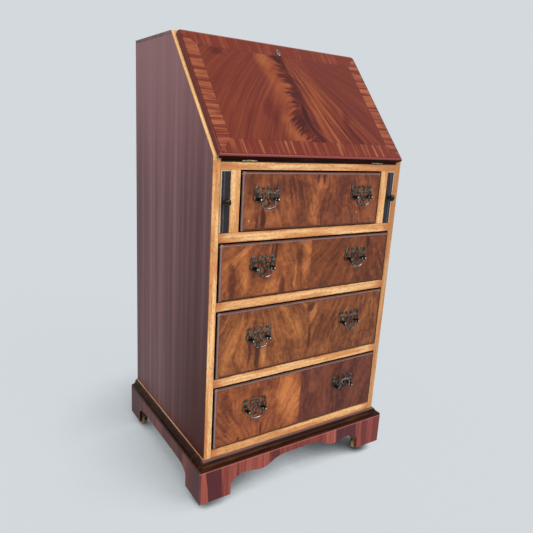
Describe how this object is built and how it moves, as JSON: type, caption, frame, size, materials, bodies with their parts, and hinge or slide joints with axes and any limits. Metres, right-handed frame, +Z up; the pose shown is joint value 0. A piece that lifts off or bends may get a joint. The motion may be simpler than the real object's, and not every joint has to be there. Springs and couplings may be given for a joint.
{
  "type": "fall-front writing bureau",
  "caption": "Narrow fall-front writing bureau with a sloping crossbanded fall, pull-out lopers, a bank of drawers with batwing handles, an ogee bracket plinth and castors.",
  "frame": {"origin": "on the floor, under the middle of the whole bureau as it rests with its fall shut and its drawers in", "axes": "+Z up, -Y out of the front (the drawers slide towards -Y), +X to the right of someone facing the front"},
  "size_m": [0.5354, 0.4496, 1.0215],
  "materials": {
    "mahogany": "satin polish",
    "pale_wood": "satin polish",
    "walnut": "satin polish",
    "flame_mahogany": "satin polish",
    "dark_moulding": "satin polish",
    "plinth_veneer": "satin polish",
    "ebonised": "satin polish",
    "inside_wood": "satin polish",
    "dark_bronze": "aged, dark",
    "brass": "satin",
    "pale_brass": "polished"
  },
  "bodies": {
    "carcase": {"left_side": "mahogany", "right_side": "mahogany", "left_lipping": "pale_wood", "right_lipping": "pale_wood", "top_board": "mahogany", "back_panel": "inside_wood", "writing_bed": "pale_wood", "dustboard_1": "pale_wood", "dustboard_2": "pale_wood", "dustboard_3": "pale_wood", "bottom_board": "pale_wood", "left_partition": "pale_wood", "right_partition": "pale_wood", "base_moulding": "dark_moulding", "plinth": "plinth_veneer", "pigeonholes": "inside_wood", "left_bed_leaf": "brass", "right_bed_leaf": "brass"},
    "fall": {"fall_board": "flame_mahogany", "left_fall_leaf": "brass", "right_fall_leaf": "brass", "fall_lock": "brass", "keyhole_escutcheon": "pale_brass"},
    "bolt": {"lock_bolt": "pale_brass"},
    "left_loper_arm": {"left_loper": "ebonised", "left_loper_knob": "dark_bronze"},
    "right_loper_arm": {"right_loper": "ebonised", "right_loper_knob": "dark_bronze"},
    "drawer_1": {"drawer_1_front": "walnut", "drawer_1_box": "inside_wood", "drawer_1_left_plate": "dark_bronze", "drawer_1_right_plate": "dark_bronze"},
    "drawer_1_left_bail": {"drawer_1_left_bail": "dark_bronze"},
    "drawer_1_right_bail": {"drawer_1_right_bail": "dark_bronze"},
    "drawer_2": {"drawer_2_front": "walnut", "drawer_2_box": "inside_wood", "drawer_2_left_plate": "dark_bronze", "drawer_2_right_plate": "dark_bronze"},
    "drawer_2_left_bail": {"drawer_2_left_bail": "dark_bronze"},
    "drawer_2_right_bail": {"drawer_2_right_bail": "dark_bronze"},
    "drawer_3": {"drawer_3_front": "walnut", "drawer_3_box": "inside_wood", "drawer_3_left_plate": "dark_bronze", "drawer_3_right_plate": "dark_bronze"},
    "drawer_3_left_bail": {"drawer_3_left_bail": "dark_bronze"},
    "drawer_3_right_bail": {"drawer_3_right_bail": "dark_bronze"},
    "drawer_4": {"drawer_4_front": "walnut", "drawer_4_box": "inside_wood", "drawer_4_left_plate": "dark_bronze", "drawer_4_right_plate": "dark_bronze"},
    "drawer_4_left_bail": {"drawer_4_left_bail": "dark_bronze"},
    "drawer_4_right_bail": {"drawer_4_right_bail": "dark_bronze"},
    "front_left_castor": {"front_left_fork": "brass"},
    "front_left_roller": {"front_left_wheel": "pale_brass"},
    "front_right_castor": {"front_right_fork": "brass"},
    "front_right_roller": {"front_right_wheel": "pale_brass"},
    "rear_left_castor": {"rear_left_fork": "brass"},
    "rear_left_roller": {"rear_left_wheel": "pale_brass"},
    "rear_right_castor": {"rear_right_fork": "brass"},
    "rear_right_roller": {"rear_right_wheel": "pale_brass"}
  },
  "joints": [
    {"name": "fall_hinge", "type": "hinge", "parent": "carcase", "child": "fall", "pos_m": [0, -0.2052, 0.7691], "axis": [1, 0, 0], "range_deg": [0, 131.01]},
    {"name": "bolt_throw", "type": "slide", "parent": "fall", "child": "bolt", "axis": [0, 0.6562, 0.7546], "range_m": [0, 0.006]},
    {"name": "left_loper_slide", "type": "slide", "parent": "carcase", "child": "left_loper_arm", "axis": [0, -1, 0], "range_m": [0, 0.26]},
    {"name": "right_loper_slide", "type": "slide", "parent": "carcase", "child": "right_loper_arm", "axis": [0, -1, 0], "range_m": [0, 0.26]},
    {"name": "drawer_1_slide", "type": "slide", "parent": "carcase", "child": "drawer_1", "axis": [0, -1, 0], "range_m": [0, 0.27]},
    {"name": "drawer_1_left_bail_swing", "type": "hinge", "parent": "drawer_1", "child": "drawer_1_left_bail", "pos_m": [-0.129, -0.2201, 0.69435], "axis": [-1, 0, 0], "range_deg": [-24, 184]},
    {"name": "drawer_1_right_bail_swing", "type": "hinge", "parent": "drawer_1", "child": "drawer_1_right_bail", "pos_m": [0.129, -0.2201, 0.69435], "axis": [-1, 0, 0], "range_deg": [-24, 184]},
    {"name": "drawer_2_slide", "type": "slide", "parent": "carcase", "child": "drawer_2", "axis": [0, -1, 0], "range_m": [0, 0.27]},
    {"name": "drawer_2_left_bail_swing", "type": "hinge", "parent": "drawer_2", "child": "drawer_2_left_bail", "pos_m": [-0.129, -0.2201, 0.55015], "axis": [-1, 0, 0], "range_deg": [-24, 184]},
    {"name": "drawer_2_right_bail_swing", "type": "hinge", "parent": "drawer_2", "child": "drawer_2_right_bail", "pos_m": [0.129, -0.2201, 0.55015], "axis": [-1, 0, 0], "range_deg": [-24, 184]},
    {"name": "drawer_3_slide", "type": "slide", "parent": "carcase", "child": "drawer_3", "axis": [0, -1, 0], "range_m": [0, 0.27]},
    {"name": "drawer_3_left_bail_swing", "type": "hinge", "parent": "drawer_3", "child": "drawer_3_left_bail", "pos_m": [-0.129, -0.2201, 0.39195], "axis": [-1, 0, 0], "range_deg": [-24, 184]},
    {"name": "drawer_3_right_bail_swing", "type": "hinge", "parent": "drawer_3", "child": "drawer_3_right_bail", "pos_m": [0.129, -0.2201, 0.39195], "axis": [-1, 0, 0], "range_deg": [-24, 184]},
    {"name": "drawer_4_slide", "type": "slide", "parent": "carcase", "child": "drawer_4", "axis": [0, -1, 0], "range_m": [0, 0.27]},
    {"name": "drawer_4_left_bail_swing", "type": "hinge", "parent": "drawer_4", "child": "drawer_4_left_bail", "pos_m": [-0.129, -0.2201, 0.22115], "axis": [-1, 0, 0], "range_deg": [-24, 184]},
    {"name": "drawer_4_right_bail_swing", "type": "hinge", "parent": "drawer_4", "child": "drawer_4_right_bail", "pos_m": [0.129, -0.2201, 0.22115], "axis": [-1, 0, 0], "range_deg": [-208, 0]},
    {"name": "front_left_swivel", "type": "hinge", "parent": "carcase", "child": "front_left_castor", "pos_m": [-0.23, -0.1792, 0.04], "axis": [0, 0, 1], "continuous": true},
    {"name": "front_left_spin", "type": "hinge", "parent": "front_left_castor", "child": "front_left_roller", "pos_m": [-0.23918, -0.16609, 0.012], "axis": [-0.8192, -0.5736, 0], "continuous": true},
    {"name": "front_right_swivel", "type": "hinge", "parent": "carcase", "child": "front_right_castor", "pos_m": [0.23, -0.1792, 0.04], "axis": [0, 0, 1], "continuous": true},
    {"name": "front_right_spin", "type": "hinge", "parent": "front_right_castor", "child": "front_right_roller", "pos_m": [0.21643, -0.18768, 0.012], "axis": [0.5299, -0.848, 0], "continuous": true},
    {"name": "rear_left_swivel", "type": "hinge", "parent": "carcase", "child": "rear_left_castor", "pos_m": [-0.23, 0.1988, 0.04], "axis": [0, 0, 1], "continuous": true},
    {"name": "rear_left_spin", "type": "hinge", "parent": "rear_left_castor", "child": "rear_left_roller", "pos_m": [-0.24311, 0.18962, 0.012], "axis": [0.5736, -0.8192, 0], "continuous": true},
    {"name": "rear_right_swivel", "type": "hinge", "parent": "carcase", "child": "rear_right_castor", "pos_m": [0.23, 0.1988, 0.04], "axis": [0, 0, 1], "continuous": true},
    {"name": "rear_right_spin", "type": "hinge", "parent": "rear_right_castor", "child": "rear_right_roller", "pos_m": [0.238, 0.18494, 0.012], "axis": [0.866, 0.5, 0], "continuous": true}
  ]
}
